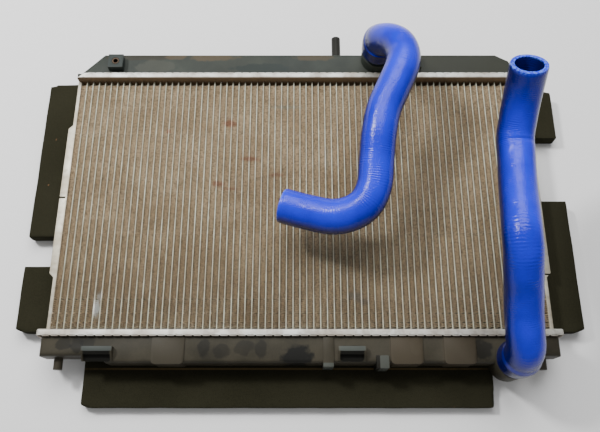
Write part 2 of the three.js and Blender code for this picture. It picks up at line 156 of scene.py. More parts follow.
def math_node(tree, operation, first, second=None, clamp=False):
    node = tree.nodes.new("ShaderNodeMath")
    node.operation = operation
    node.use_clamp = clamp
    for socket, value in zip(node.inputs, (first, second)):
        if value is None:
            continue
        if isinstance(value, (int, float)):
            socket.default_value = value
        else:
            wire(tree, value, socket)
    return node.outputs[0]


def object_noise(tree, scale, detail):
    """Noise that stays on the piece, because it reads the piece's own coordinates."""
    texture = tree.nodes.new("ShaderNodeTexNoise")
    texture.inputs["Detail"].default_value = detail
    if isinstance(scale, (int, float)):
        texture.inputs["Scale"].default_value = scale
    else:
        wire(tree, scale, texture.inputs["Scale"])
    wire(tree, tree.nodes.new("ShaderNodeTexCoord").outputs["Object"], texture.inputs["Vector"])
    return texture.outputs["Fac"]


def steps(tree, value, low, high):
    """A soft step: 0 up to low, 1 from high on."""
    node = tree.nodes.new("ShaderNodeMapRange")
    node.interpolation_type = "SMOOTHSTEP"
    wire(tree, value, node.inputs["Value"])
    node.inputs["From Min"].default_value = low
    node.inputs["From Max"].default_value = high
    return node.outputs["Result"]


print("node helpers ready")

# %% [markdown]
# ## Fine grain
# Cast, moulded and rolled surfaces are never quite smooth. A fine noise gives the height,
# and the same noise at a much larger size gives a slow mottling of the colour. An image
# could do this too, but noise has no seams and needs no file.

# %% Fine grain
GRAIN_TO_MOTTLE = 0.04      # the mottling is 25 times as wide as the grain

fine_grain, given, made = new_group("fine_grain", [("Scale", 900.0)], ["Height", "Mottle"])
wire(fine_grain, object_noise(fine_grain, given.outputs["Scale"], 2.0), made.inputs["Height"])
coarse = math_node(fine_grain, "MULTIPLY", given.outputs["Scale"], GRAIN_TO_MOTTLE)
wire(fine_grain, object_noise(fine_grain, coarse, 5.0), made.inputs["Mottle"])
print(fine_grain.name, "gives", [socket.name for socket in made.inputs if socket.name])

# %% [markdown]
# ## Settled dust
# Dust lies on what faces up, thicker in some patches, and a little of it clings
# everywhere. The surface normal's upward part says how much a place faces up, and two
# noises break the layer into clouds and specks.

# %% Settled dust
SPECK_SCALE = 420.0
CLOUD_SHARE = 0.75          # the rest is specks
CLINGING = 0.25             # what stays on a surface that faces sideways

settled_dust, given, made = new_group("settled_dust", [("Amount", 0.5), ("Scale", 14.0)], ["Mask"])
normal = settled_dust.nodes.new("ShaderNodeNewGeometry").outputs["Normal"]
split = settled_dust.nodes.new("ShaderNodeSeparateXYZ")
wire(settled_dust, normal, split.inputs[0])
upward = steps(settled_dust, split.outputs["Z"], -0.2, 0.9)
patches = steps(settled_dust, object_noise(settled_dust, given.outputs["Scale"], 6.0), 0.3, 0.72)
speckle = steps(settled_dust, object_noise(settled_dust, SPECK_SCALE, 2.0), 0.35, 0.8)
cloud = math_node(settled_dust, "ADD", math_node(settled_dust, "MULTIPLY", patches, CLOUD_SHARE),
                  math_node(settled_dust, "MULTIPLY", speckle, 1 - CLOUD_SHARE))
lying = math_node(settled_dust, "MULTIPLY", cloud, math_node(settled_dust, "ADD", upward, CLINGING))
wire(settled_dust, math_node(settled_dust, "MULTIPLY", lying, given.outputs["Amount"], True),
     made.inputs["Mask"])
print(settled_dust.name, "gives", [socket.name for socket in made.inputs if socket.name])

# %% [markdown]
# ## Dried water
# A drop that dries leaves a clean middle and a pale ring of dust at its edge. Cells of a
# Voronoi texture stand for the drops: the distance from a cell's point makes a disc, and a
# smaller disc taken out of it leaves the ring. The place is bent by noise first, because
# real drops aren't round.

# %% Dried water
WOBBLE_SCALE = 45.0
WOBBLE_REACH = 16 * MM

dried_water, given, made = new_group("dried_water", [("Scale", 22.0)], ["Ring", "Inside"])
place = dried_water.nodes.new("ShaderNodeTexCoord").outputs["Object"]
bend = dried_water.nodes.new("ShaderNodeVectorMath")
bend.operation = "MULTIPLY_ADD"
wobble = dried_water.nodes.new("ShaderNodeTexNoise")
wobble.inputs["Scale"].default_value = WOBBLE_SCALE
wire(dried_water, place, wobble.inputs["Vector"])
wire(dried_water, wobble.outputs["Color"], bend.inputs[0])
bend.inputs[1].default_value = (WOBBLE_REACH,) * 3
wire(dried_water, place, bend.inputs[2])
drops = dried_water.nodes.new("ShaderNodeTexVoronoi")
drops.inputs["Randomness"].default_value = 0.85
wire(dried_water, given.outputs["Scale"], drops.inputs["Scale"])
wire(dried_water, bend.outputs[0], drops.inputs["Vector"])
past_edge = steps(dried_water, drops.outputs["Distance"], 0.36, 0.46)
past_core = steps(dried_water, drops.outputs["Distance"], 0.28, 0.40)
inside = math_node(dried_water, "SUBTRACT", 1.0, past_edge)
core_of_drop = math_node(dried_water, "SUBTRACT", 1.0, past_core)
wire(dried_water, inside, made.inputs["Inside"])
wire(dried_water, math_node(dried_water, "SUBTRACT", inside, core_of_drop, True), made.inputs["Ring"])
print(dried_water.name, "gives", [socket.name for socket in made.inputs if socket.name])

# %% [markdown]
# ## Blotches
# Bare aluminium dulls in small darker blotches. One noise with a steep step between dull
# and clean gives them a soft but clear edge.

# %% Blotches
blotches, given, made = new_group("blotches", [("Scale", 110.0)], ["Mask"])
patchy = object_noise(blotches, given.outputs["Scale"], 4.0)
wire(blotches, steps(blotches, patchy, 0.46, 0.66), made.inputs["Mask"])
print(blotches.name, "gives", [socket.name for socket in made.inputs if socket.name])

# %% [markdown]
# ## Spot
# One stain, scuff, worn panel or patch of painted shade at a chosen place. It could be painted
# by hand on an image, but a formula stays sharp at any distance: the distance from the middle
# is a power sum, where a power of two makes an oval and a high one squares it off, and noise
# makes the edge uneven.

# %% Spot
EDGE_NOISE_SCALE = 90.0

spot, given, made = new_group(
    "spot", [("X", 0.0), ("Y", 0.0), ("Half Width", 0.01), ("Half Height", 0.01), ("Soft", 0.3),
             ("Corner", 2.0), ("Uneven", 0.9)], ["Mask"])
place = spot.nodes.new("ShaderNodeTexCoord").outputs["Object"]
either_way = math_node(spot, "SUBTRACT", object_noise(spot, EDGE_NOISE_SCALE, 3.0), 0.5)
uneven = math_node(spot, "MULTIPLY", either_way, given.outputs["Uneven"])
split = spot.nodes.new("ShaderNodeSeparateXYZ")
wire(spot, place, split.inputs[0])
squares = []
for axis, half in (("X", "Half Width"), ("Y", "Half Height")):
    away = math_node(spot, "SUBTRACT", split.outputs[axis], given.outputs[axis])
    share = math_node(spot, "ABSOLUTE", math_node(spot, "DIVIDE", away, given.outputs[half]))
    squares.append(math_node(spot, "POWER", share, given.outputs["Corner"]))
distance = math_node(spot, "POWER", math_node(spot, "ADD", *squares),
                     math_node(spot, "DIVIDE", 1.0, given.outputs["Corner"]))
reach = math_node(spot, "ADD", distance, uneven)
past = math_node(spot, "DIVIDE", math_node(spot, "SUBTRACT", reach, 1.0), given.outputs["Soft"])
wire(spot, math_node(spot, "SUBTRACT", 1.0, steps(spot, past, -1.0, 1.0)), made.inputs["Mask"])
print("groups:", [g.name for g in bpy.data.node_groups])

# %% [markdown]
# ## Materials
# Every finish takes the same few steps: mix colours by masks, set the roughness, and let a
# height bend the light. The nodes could be placed one by one, but helpers keep each
# material short enough to read as a recipe. Each material is a function of its own, named
# after what it is made of.

# %% Material helpers
RGB_FACTOR, RGB_FIRST, RGB_SECOND, RGB_RESULT = 0, 6, 7, 2     # the Mix node's colour sockets
PATCHY = (0.3, 0.7)         # where a mottling noise turns from one colour to the other


def start(name, metallic=0.0):
    material = bpy.data.materials.new(name)
    material.use_nodes = True
    tree = material.node_tree
    shader = tree.nodes["Principled BSDF"]
    shader.inputs["Metallic"].default_value = metallic
    return material, tree, shader


def place_group(tree, group, **values):
    node = tree.nodes.new("ShaderNodeGroup")
    node.node_tree = group
    for label, value in values.items():
        node.inputs[label].default_value = value
    return node.outputs


def colour_mix(tree, mask, under, over):
    node = tree.nodes.new("ShaderNodeMix")
    node.data_type = "RGBA"
    wire(tree, mask, node.inputs[RGB_FACTOR])
    for socket, value in ((RGB_FIRST, under), (RGB_SECOND, over)):
        if isinstance(value, tuple):
            node.inputs[socket].default_value = (*value, 1)
        else:
            wire(tree, value, node.inputs[socket])
    return node.outputs[RGB_RESULT]


def value_mix(tree, mask, low, high):
    node = tree.nodes.new("ShaderNodeMapRange")
    wire(tree, mask, node.inputs["Value"])
    node.inputs["To Min"].default_value = low
    node.inputs["To Max"].default_value = high
    return node.outputs["Result"]


def bump(tree, shader, height, distance, strength=0.5):
    node = tree.nodes.new("ShaderNodeBump")
    node.inputs["Strength"].default_value = strength
    node.inputs["Distance"].default_value = distance
    wire(tree, height, node.inputs["Height"])
    wire(tree, node.outputs[0], shader.inputs["Normal"])


print("colour helpers ready")

# %% [markdown]
# ## Reading the surface
# Dirt and wear depend on where a place is and which way it faces. Both are vectors, and a
# mask needs one number, so these helpers pick out one part.

# %% Reading the surface
def axis_of(tree, vector, axis):
    parts = tree.nodes.new("ShaderNodeSeparateXYZ")
    wire(tree, vector, parts.inputs[0])
    return parts.outputs[axis]


def facing(tree, axis):
    """How much the surface faces along an axis, from -1 to 1."""
    return axis_of(tree, tree.nodes.new("ShaderNodeNewGeometry").outputs["Normal"], axis)


def place_on(tree, axis):
    return axis_of(tree, tree.nodes.new("ShaderNodeTexCoord").outputs["Object"], axis)


print("surface helpers ready")

# %% [markdown]
# ## Stains and painted shade
# Each piece has its own list of marks: where each one is, in millimetres from the middle
# of the core, how far it reaches each way, its colour and how strong it is. The same spot
# group lays them all, so a list is all that a new mark needs.

# %% Stains
# The core's middle is this far from the frame's origin, in millimetres.
SHIFT_Y = CORE_MIDDLE_Y / MM


def stained_and_shaded(tree, colour, laid_marks, corner=2.0, uneven=0.9, soft=0.35):
    """Lays each mark (x, y, half width, half height in mm, colour, strength), stain and painted shade
    alike, over a colour.
    """
    for x, y, half_width, half_height, stain_and_shade, strength in laid_marks:
        mask = place_group(tree, spot, **{
            "X": x * MM, "Y": (y + SHIFT_Y) * MM, "Half Width": half_width * MM,
            "Half Height": half_height * MM, "Soft": soft, "Corner": corner, "Uneven": uneven})["Mask"]
        colour = colour_mix(tree, math_node(tree, "MULTIPLY", mask, strength), colour, stain_and_shade)
    return colour


RUST, DEEP_RUST = (0.42, 0.15, 0.07), (0.40, 0.14, 0.07)
CORE_MARKS = [
    (-281, -163, 4, 15, (1.0, 1.0, 0.98), 1.0), (-278, -146, 2.5, 9, (0.75, 0.75, 0.72), 0.5),
    (76, -147, 13, 5, (0.50, 0.48, 0.43), 0.6), (88, -154, 8, 4, (0.42, 0.40, 0.36), 0.5),
    (-108, 121, 9, 5, RUST, 0.5), (-75, 62, 12, 3, DEEP_RUST, 0.45),
    (-120, 22, 7, 4, (0.42, 0.15, 0.08), 0.45), (-35, 36, 10, 3, (0.36, 0.14, 0.07), 0.4),
    (-200, 108, 3, 3, RUST, 0.45), (-104, 14, 12, 2, DEEP_RUST, 0.35),
    (-20, 150, 22, 3, (0.50, 0.52, 0.46), 0.5), (40, 60, 3, 24, (0.52, 0.53, 0.47), 0.4),
]
print(len(CORE_MARKS), "marks on the core")

# %% [markdown]
# ## Bare aluminium
# Rolled sheet that has gone dull: clean and tarnished places by mottling, darker blotches,
# and dust on top. Real metal would be fully metallic, but the oxide and the dirt on it
# scatter light as paint does, so it is metallic by half.

# %% Bare aluminium
DUST = (0.30, 0.25, 0.18)
SHEET_ROUGH = (0.38, 0.62)
BLOTCH_STRENGTH = 0.5
BLOTCH_SHADE = 0.55         # of the tarnish's own colour


def bare_sheet(name, clean, tarnish, dust_amount, metallic=0.5, marks=()):
    material, tree, shader = start(name, metallic)
    grain = place_group(tree, fine_grain, Scale=700.0)
    dust = place_group(tree, settled_dust, Amount=dust_amount, Scale=26.0)["Mask"]
    base = colour_mix(tree, steps(tree, grain["Mottle"], *PATCHY), clean, tarnish)
    blotch = place_group(tree, blotches, Scale=110.0)["Mask"]
    blotch = math_node(tree, "MULTIPLY", blotch, BLOTCH_STRENGTH)
    blotched = colour_mix(tree, blotch, base, tuple(BLOTCH_SHADE * v for v in tarnish))
    dusty = colour_mix(tree, dust, blotched, DUST)
    wire(tree, stained_and_shaded(tree, dusty, marks), shader.inputs["Base Color"])
    wire(tree, value_mix(tree, grain["Mottle"], *SHEET_ROUGH), shader.inputs["Roughness"])
    bump(tree, shader, grain["Height"], 0.06 * MM)
    return material


plate_metal = bare_sheet("plate_metal", clean=(0.52, 0.50, 0.42), tarnish=(0.40, 0.36, 0.27),
                         dust_amount=0.45)
tube_metal = bare_sheet("tube_metal", clean=(0.44, 0.455, 0.36), tarnish=(0.34, 0.33, 0.245),
                        dust_amount=0.32, metallic=0.2, marks=CORE_MARKS)
print("bare aluminium:", plate_metal.name, tube_metal.name)

# %% [markdown]
# ## Header aluminium
# The face of each header that looks back along the core, away from the lamps, is painted
# brown: partly the sheet's own tan and partly painted shade. The colour follows the way a
# face looks, so the bare sheet's colour is mixed with brown by the normal. A second material
# on chosen faces would leave a hard line.

# %% Header aluminium
HEADER_CLEAN, HEADER_TARNISH, HEADER_DUST = (0.63, 0.64, 0.60), (0.42, 0.385, 0.33), 0.25


def header_metal(name, tan_and_shade, turned_from, turned_to):
    material = bare_sheet(name, HEADER_CLEAN, HEADER_TARNISH, HEADER_DUST)
    tree = material.node_tree
    shader = tree.nodes["Principled BSDF"]
    clean = shader.inputs["Base Color"].links[0].from_socket
    # Painted shade: faces that look back along the core get the brown, partly tan and partly shade.
    backward = math_node(tree, "MULTIPLY", facing(tree, "Y"), -1.0)
    stain_and_shade = steps(tree, backward, turned_from, turned_to)
    wire(tree, colour_mix(tree, stain_and_shade, clean, tan_and_shade), shader.inputs["Base Color"])
    return material


top_header_metal = header_metal("top_header_metal", tan_and_shade=(0.16, 0.11, 0.065),
                                turned_from=0.15, turned_to=0.75)
bottom_header_metal = header_metal("bottom_header_metal", tan_and_shade=(0.36, 0.28, 0.22),
                                   turned_from=0.1, turned_to=0.7)
print("header aluminium:", top_header_metal.name, bottom_header_metal.name)

# %% [markdown]
# ## Clogged fins
# The fins are sheet a tenth of a millimetre thick, full of dust and bent here and there.
# Each bent fin can't be modelled, so two fine noises darken the clogged folds and paint
# near-white glints on the ones that would catch the light, as painted highlights. The dust
# makes them a matt brown, with no metal showing.

# %% Clogged fins
FIN_ROUGHNESS = 0.75
FIN_DULL, FIN_PALE, FIN_RUBBED = (0.76, 0.64, 0.485), (0.83, 0.71, 0.545), (0.93, 0.81, 0.64)
CLOGGED, CLOG_SCALE, CLOG_STRENGTH = (0.40, 0.32, 0.225), 330.0, 0.7
GLINT, GLINT_SCALE, GLINT_STRENGTH = (0.98, 0.90, 0.76), 410.0, 0.6


def clogged_fins():
    """Thin folded sheet, clogged with road dust; a few places are rubbed pale or rusty, and painted glints
    stand for folds that catch the light.
    """
    material, tree, shader = start("fin_metal")
    grain = place_group(tree, fine_grain, Scale=500.0)
    clouds = object_noise(tree, 6.0, 5.0)
    base = colour_mix(tree, steps(tree, clouds, *PATCHY), FIN_DULL, FIN_PALE)
    fine = colour_mix(tree, steps(tree, grain["Mottle"], 0.35, 0.75), base, FIN_RUBBED)
    full = steps(tree, object_noise(tree, CLOG_SCALE, 3.0), 0.46, 0.62)
    uneven = colour_mix(tree, math_node(tree, "MULTIPLY", full, CLOG_STRENGTH), fine, CLOGGED)
    # Painted highlight: scattered folds are painted near white as glints.
    glint_spots = steps(tree, object_noise(tree, GLINT_SCALE, 3.0), 0.58, 0.70)
    flecked = colour_mix(tree, math_node(tree, "MULTIPLY", glint_spots, GLINT_STRENGTH), uneven, GLINT)
    wire(tree, stained_and_shaded(tree, flecked, CORE_MARKS, uneven=2.2), shader.inputs["Base Color"])
    shader.inputs["Roughness"].default_value = FIN_ROUGHNESS
    bump(tree, shader, grain["Height"], 0.1 * MM)
    return material


fin_metal = clogged_fins()
print("fins:", fin_metal.name)

# %% [markdown]
# ## Tank plastic
# The tanks are black nylon filled with glass fibre. Age turns it grey, dust lies on it, and
# drops wash it clean in places. The order of the layers matters: mottling first, then
# dust, then water, which takes the dust off again, and last the marks of each tank. The
# steps that a mould leaves beside the panels are real shapes, and the spots here only
# shade them.

# %% Tank plastic
TANK_GLOSS = 0.2
WASHED, RINGED = 0.25, 0.12
BEYOND_EDGE = (0.012, 0.012, 0.009)
TANK_ROUGH = (0.5, 0.85)    # bare plastic and thick dust


def tank_plastic(name, deep, worn, dusty_colour, dust_amount, marks=(), panels_and_shade=(), black_from=None):
    """Glass-filled nylon: matt, a little mottled, dusty, and marked by dried drops."""
    material, tree, shader = start(name)
    shader.inputs["Specular IOR Level"].default_value = TANK_GLOSS
    grain = place_group(tree, fine_grain, Scale=650.0)
    water = place_group(tree, dried_water, Scale=20.0)
    dust = place_group(tree, settled_dust, Amount=dust_amount, Scale=11.0)["Mask"]
    base = colour_mix(tree, steps(tree, grain["Mottle"], 0.3, 0.75), deep, worn)
    dusty = colour_mix(tree, dust, base, dusty_colour)
    washed = colour_mix(tree, math_node(tree, "MULTIPLY", water["Inside"], WASHED), dusty, deep)
    ringed = colour_mix(tree, math_node(tree, "MULTIPLY", water["Ring"], RINGED), washed, dusty_colour)
    laid_marks = stained_and_shaded(tree, ringed, marks, uneven=1.5, soft=0.2)
    marked = stained_and_shaded(tree, laid_marks, panels_and_shade, corner=8.0, uneven=0.12, soft=0.08)
    if black_from:
        past_it = steps(tree, place_on(tree, "Y"), black_from, black_from + 2 * MM)
        marked = colour_mix(tree, past_it, marked, BEYOND_EDGE)
    wire(tree, marked, shader.inputs["Base Color"])
    wire(tree, value_mix(tree, dust, *TANK_ROUGH), shader.inputs["Roughness"])
    bump(tree, shader, grain["Height"], 0.12 * MM)
    return material


print("tank plastic ready")

# %% [markdown]
# ## The tanks' own marks
# The bottom tank shows dark wet patches, bleached clip hoods, pockets under them painted
# black as shade, and four paler panels. The top tank has brown dirt along its far edge and one
# clean lug.

# %% The tanks' own marks
WET = (0.006, 0.006, 0.005)
BOTTOM_MARKS = [
    (-4, -229, 19, 14, WET, 0.97), (-130, -219, 8, 11, WET, 0.6), (-105, -224, 12, 10, WET, 0.5),
    (-76, -219, 13, 9, WET, 0.45), (-52, -222, 7, 13, WET, 0.55), (-318, -214, 10, 8, WET, 0.6),
    (-299, -216, 9, 10, WET, 0.6), (-285, -213, 10, 7, WET, 0.6), (246, -222, 12, 14, WET, 0.75),
    (155, -215, 7, 14, (0.085, 0.075, 0.055), 0.4),
]
# Worn places and painted shade with straight edges: the raised panels, each hood's roof, the
# painted shade in each hood's pocket, the foot of the rib and the rest block.
BLEACHED, BLACK = (0.075, 0.084, 0.074), (0.003, 0.003, 0.002)
BOTTOM_PANELS_AND_SHADE = [
    (143, -222, 22, 20, (0.062, 0.049, 0.031), 0.7), (214, -222, 22, 20, (0.058, 0.046, 0.03), 0.6),
    (-177, -222, 22, 20, (0.05, 0.043, 0.03), 0.6), (-270.5, -227, 18, 10.5, BLACK, 0.95),
    (69.5, -227, 16, 10.5, BLACK, 0.95), (-270.5, -221, 20, 3.3, (0.05, 0.058, 0.052), 0.9),
    (69.5, -221, 18, 3.3, BLEACHED, 0.8), (38, -242, 7, 3, BLEACHED, 0.8),
    (112.5, -238, 6, 9, BLEACHED, 0.7), (104, -238, 2.5, 9, BLACK, 0.8),
]
TOP_PANELS = [(-286.5, 221, 11.5, 11.5, (0.022, 0.030, 0.027), 0.85)]
TOP_MARKS = [
    (270, 222, 90, 26, (0.030, 0.031, 0.022), 0.75), (-250, 234, 60, 5, (0.030, 0.024, 0.014), 0.6),
    (-140, 234, 36, 7, (0.085, 0.062, 0.034), 0.7), (-195, 235, 16, 6, (0.09, 0.066, 0.038), 0.6),
    (-60, 214, 46, 8, (0.016, 0.024, 0.022), 0.7), (20, 234, 30, 6, (0.075, 0.055, 0.03), 0.6),
    (-225, 218, 34, 10, (0.058, 0.060, 0.046), 0.5),
]
TOP_FACE_ENDS = 241.5        # the top tank's flat face stops here, and the rest is darker

top_plastic = tank_plastic(
    "top_tank_plastic", deep=(0.017, 0.023, 0.019), worn=(0.032, 0.040, 0.032),
    dusty_colour=(0.068, 0.070, 0.055), dust_amount=0.28, marks=TOP_MARKS, panels_and_shade=TOP_PANELS,
    black_from=(TOP_FACE_ENDS + SHIFT_Y) * MM)
bottom_plastic = tank_plastic(
    "bottom_tank_plastic", deep=(0.022, 0.020, 0.013), worn=(0.040, 0.035, 0.023),
    dusty_colour=(0.075, 0.064, 0.043), dust_amount=0.42, marks=BOTTOM_MARKS, panels_and_shade=BOTTOM_PANELS_AND_SHADE)
print(len(BOTTOM_MARKS) + len(BOTTOM_PANELS_AND_SHADE), "marks below,", len(TOP_MARKS) + len(TOP_PANELS), "above")

# %% [markdown]
# ## Blue silicone
# The hoses are silicone rubber pressed over plies of fabric that were wrapped round a
# former. The upper side is mottled with faded blue, the flanks and underside are painted a
# much deeper blue as painted shade, and the wrapping shows as fine lines across the hose in
# places. The lines need the distance along the hose, which Object coordinates don't know, so
# the mesh carries it as an attribute. The cut end shows the threads.

# %% Blue silicone
WRAP_PITCH = 3.2 * MM
WRAP_WAVER = 2 * MM
SILICONE_GLOSS, SILICONE_ROUGH = 0.33, (0.16, 0.28)
WRAP_HEIGHT, GRAIN_HEIGHT = 0.6, 1.6     # shares of the bump
SHADE_BLUE, BLUE, FADED_BLUE = (0.001, 0.003, 0.08), (0.003, 0.010, 0.60), (0.006, 0.017, 0.90)
CHALK, THREAD = (0.10, 0.16, 0.55), (0.10, 0.20, 0.80)


def attribute(tree, name):
    node = tree.nodes.new("ShaderNodeAttribute")
    node.attribute_name = name
    return node.outputs["Fac"]


def hose_silicone():
    """Blue silicone over fabric plies: satin, chalky in places, with fine wrap lines across it, and
    painted shade on its flanks and underside.
    """
    material, tree, shader = start("hose_silicone")
    grain = place_group(tree, fine_grain, Scale=420.0)
    dust = place_group(tree, settled_dust, Amount=0.07, Scale=16.0)["Mask"]
    shader.inputs["Specular IOR Level"].default_value = SILICONE_GLOSS
    upward = steps(tree, facing(tree, "Z"), 0.1, 1.0)
    worn = colour_mix(tree, steps(tree, grain["Mottle"], *PATCHY), BLUE, FADED_BLUE)
    # Painted shade: faces that look sideways or down go to a much deeper blue.
    base = colour_mix(tree, upward, SHADE_BLUE, worn)
    chalky = colour_mix(tree, math_node(tree, "MULTIPLY", dust, upward), base, CHALK)
    threads = steps(tree, grain["Height"], 0.42, 0.62)
    threads = math_node(tree, "MULTIPLY", threads, attribute(tree, "cut_end"))
    wire(tree, colour_mix(tree, threads, chalky, THREAD), shader.inputs["Base Color"])
    wire(tree, value_mix(tree, grain["Mottle"], *SILICONE_ROUGH), shader.inputs["Roughness"])
    waver = math_node(tree, "MULTIPLY", object_noise(tree, 60.0, 2.0), WRAP_WAVER)
    travelled = math_node(tree, "ADD", attribute(tree, "along"), waver)
    wraps = math_node(tree, "SINE", math_node(tree, "MULTIPLY", travelled, 2 * math.pi / WRAP_PITCH))
    printed = steps(tree, object_noise(tree, 55.0, 3.0), 0.42, 0.68)
    wraps = math_node(tree, "MULTIPLY", wraps, math_node(tree, "MULTIPLY", printed, WRAP_HEIGHT))
    height = math_node(tree, "ADD", wraps, math_node(tree, "MULTIPLY", grain["Height"], GRAIN_HEIGHT))
    bump(tree, shader, height, 0.4 * MM, 0.6)
    return material


hose_blue = hose_silicone()
print("hoses:", hose_blue.name)

# %% [markdown]
# ## Seal foam
# Closed-cell foam cut from a slab: its cut faces show open cells, and dust and a few rusty
# flecks stick in them. Cells of a Voronoi texture make the pores, both dark and deep.

# %% Seal foam
FOAM_GLOSS = 0.05
FOAM_ROUGHNESS = 0.95
CELL_SCALE = 900.0
PORE, CELL_WALL, FOAM_DUST = (0.009, 0.009, 0.005), (0.022, 0.021, 0.012), (0.036, 0.034, 0.021)
FLECK = (0.22, 0.11, 0.05)
# A thin tan line is painted along the bottom flap where the tank's edge meets it.
FOAM_EDGE = [(-16, -242.5, 284, 1.2, (0.16, 0.11, 0.05), 0.6)]


def seal_foam():
    """Closed-cell foam with open pores on its cut faces, greyed by dust."""
    material, tree, shader = start("seal_foam")
    shader.inputs["Specular IOR Level"].default_value = FOAM_GLOSS
    cells = tree.nodes.new("ShaderNodeTexVoronoi")
    cells.inputs["Scale"].default_value = CELL_SCALE
    wire(tree, tree.nodes.new("ShaderNodeTexCoord").outputs["Object"], cells.inputs["Vector"])
    grain = place_group(tree, fine_grain, Scale=500.0)
    dust = place_group(tree, settled_dust, Amount=0.35, Scale=8.0)["Mask"]
    pores = steps(tree, cells.outputs["Distance"], 0.05, 0.5)
    base = colour_mix(tree, pores, PORE, CELL_WALL)
    dusty = colour_mix(tree, dust, base, FOAM_DUST)
    flecks = steps(tree, object_noise(tree, 75.0, 1.0), 0.77, 0.80)
    flecked = colour_mix(tree, flecks, dusty, FLECK)
    wire(tree, stained_and_shaded(tree, flecked, FOAM_EDGE, corner=8.0, uneven=0.5), shader.inputs["Base Color"])
    shader.inputs["Roughness"].default_value = FOAM_ROUGHNESS
    bump(tree, shader, math_node(tree, "ADD", pores, grain["Height"]), 0.3 * MM, 0.7)
    return material


foam_dark = seal_foam()
print("foam:", foam_dark.name)

# %% [markdown]
# ## Gasket rubber, plug plastic and brass
# The small parts need no marks of their own: grain, mottling and a little dust are enough,
# so one recipe serves all three. The brass has gone brown and is metallic by half only.

# %% Small parts' finishes
def plain_finish(name, deep, pale, rough, metallic=0.0, dust_amount=0.3):
    """A small part with grain, mottling and a little dust."""
    material, tree, shader = start(name, metallic)
    grain = place_group(tree, fine_grain, Scale=600.0)
    dust = place_group(tree, settled_dust, Amount=dust_amount, Scale=30.0)["Mask"]
    base = colour_mix(tree, steps(tree, grain["Mottle"], *PATCHY), deep, pale)
    wire(tree, colour_mix(tree, dust, base, DUST), shader.inputs["Base Color"])
    wire(tree, value_mix(tree, grain["Mottle"], *rough), shader.inputs["Roughness"])
    bump(tree, shader, grain["Height"], 0.08 * MM)
    return material


gasket_black = plain_finish("gasket_black", deep=(0.012, 0.012, 0.012), pale=(0.03, 0.03, 0.028),
                            rough=(0.6, 0.85))
plug_black = plain_finish("plug_black", deep=(0.015, 0.015, 0.015), pale=(0.035, 0.035, 0.03),
                          rough=(0.4, 0.65))
insert_brass = plain_finish("insert_brass", deep=(0.045, 0.022, 0.008), pale=(0.12, 0.055, 0.018),
                            rough=(0.5, 0.7), metallic=0.5, dust_amount=0.15)
print("materials:", len(bpy.data.materials))

# %% [markdown]
# ## A smooth line for a hose
# A moulded hose keeps its curve, so its centre line is a list of given points and a smooth
# curve through them. Blender's own curves would do for a plain tube. The centripetal formula
# here never loops or overshoots, and its points come out evenly spaced.

# %% Smooth line
def smooth_line(points, pace):
    """Points about pace apart on the centripetal curve through the given ones."""
    ends = [points[0] * 2 - points[1], *points, points[-1] * 2 - points[-2]]
    line = []
    for a, b, c, d in zip(ends, ends[1:], ends[2:], ends[3:]):
        t1 = math.sqrt((b - a).length)
        t2 = t1 + math.sqrt((c - b).length)
        t3 = t2 + math.sqrt((d - c).length)
        count = max(2, round((c - b).length / pace))
        for i in range(count):
            t = t1 + (t2 - t1) * i / count
            ab = a.lerp(b, t / t1)
            bc = b.lerp(c, (t - t1) / (t2 - t1))
            cd = c.lerp(d, (t - t2) / (t3 - t2))
            abc = ab.lerp(bc, t / t2)
            bcd = bc.lerp(cd, (t - t1) / (t3 - t1))
            line.append(abc.lerp(bcd, (t - t1) / (t2 - t1)))
    return [*line, points[-1].copy()]


def length_of(line):
    return sum((b - a).length for a, b in zip(line, line[1:]))


def row_point(x, y, z):
    """A place given in millimetres from the middle of the core."""
    return Vector((x, y + SHIFT_Y, z)) * MM


print("a straight line of 100 mm measures",
      round(length_of(smooth_line([row_point(0, 0, 0), row_point(100, 0, 0)], MM)) / MM, 1), "mm")

# %% [markdown]
# ## The routes of the two hoses
# Both routes start at the cuff on the tank's neck and are repeated from the frame's design.
# The upper hose climbs out of the top tank, turns back over the core and ends level. The
# lower one rises from the bottom tank, runs along the right side and turns up at its end.

# %% Hose routes
UPPER_HOSE = [
    (120.5, 230, 77), (120.5, 230, 103),
    (123.5, 222, 117), (132, 211, 131), (141, 195, 143), (145, 175, 150), (141.5, 152, 155),
    (128, 120, 154), (114, 88, 150), (106, 51, 146), (102.5, 17, 138), (98.5, -18, 131), (88, -39, 126),
    (69, -51.5, 121), (44, -55, 116), (8, -45, 108), (-24, -34.5, 104),
]
LOWER_HOSE = [
    (284.5, -235, 62), (284.5, -235, 88),
    (284, -228, 107), (280, -210, 123), (277, -188, 136), (274, -165, 153), (270, -144, 172),
    (268, -124, 186), (267, -103, 191), (269.5, -78, 186), (273.5, -45, 177), (277, -14, 171),
    (279.5, 14, 169), (280, 36, 172), (282, 56, 184), (283.5, 74, 200), (284, 88, 219),
    (283, 100, 242),
]
for label, route in (("upper", UPPER_HOSE), ("lower", LOWER_HOSE)):
    print(label, "route:", len(route), "points from", route[0], "to", route[-1])

# %% [markdown]
# ## Carrying a ring along the line
# A ring needs two directions across the line at each point. Working them out afresh every
# time would let them jump and twist the hose, so each pair is the one before, tilted just
# enough to stay square to the line.

# %% Rings without twist
def carried_sides(line):
    """Two directions across the line for each point, turned along it without twist."""
    ways = []
    for i in range(len(line)):
        before, after = line[max(i - 1, 0)], line[min(i + 1, len(line) - 1)]
        ways.append((after - before).normalized())
    side = ways[0].orthogonal().normalized()
    sides = []
    for way in ways:
        side = (side - way * side.dot(way)).normalized()
        sides.append((side, way.cross(side)))
    return sides


def ease(value, low, high):
    t = min(max((value - low) / (high - low), 0), 1)
    return t * t * (3 - 2 * t)


print("halfway up a slope:", ease(0.5, 0, 1))

